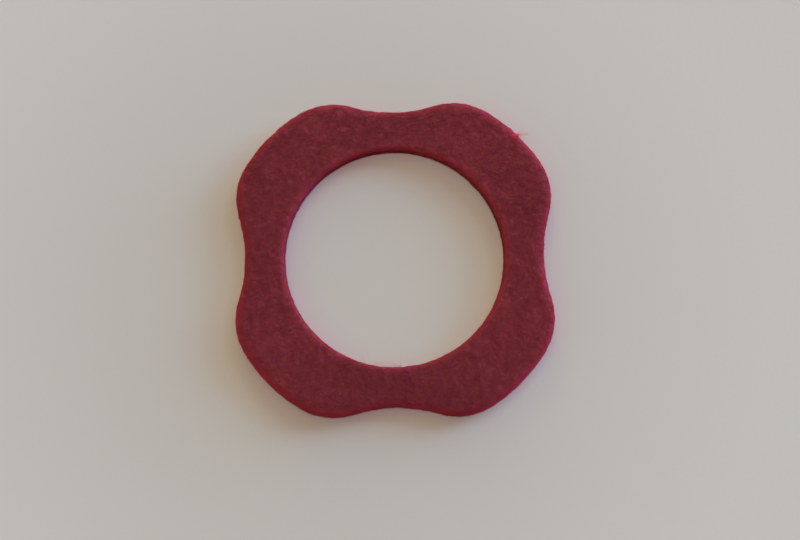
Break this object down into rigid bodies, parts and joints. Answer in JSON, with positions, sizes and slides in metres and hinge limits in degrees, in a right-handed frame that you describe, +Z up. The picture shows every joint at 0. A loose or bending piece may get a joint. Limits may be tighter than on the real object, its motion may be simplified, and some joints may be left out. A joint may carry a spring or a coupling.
{
  "type": "felt washer",
  "caption": "Flat lobed felt washer with a wide round bore, for wiping, cushioning and holding oil round a shaft or boss.",
  "frame": {"origin": "on the bore's axis, in the plane of the lower face that the washer lies on", "axes": "+Z up along the bore's axis, +X through the middle of one scallop and +Y through the middle of the next, so the lobes lie on the diagonals"},
  "size_m": [0.0364, 0.0364, 0.002],
  "materials": {
    "felt": "pressed wool felt, dark crimson, matt, with a short nap"
  },
  "bodies": {
    "root": {"felt_washer": "felt"}
  },
  "joints": []
}
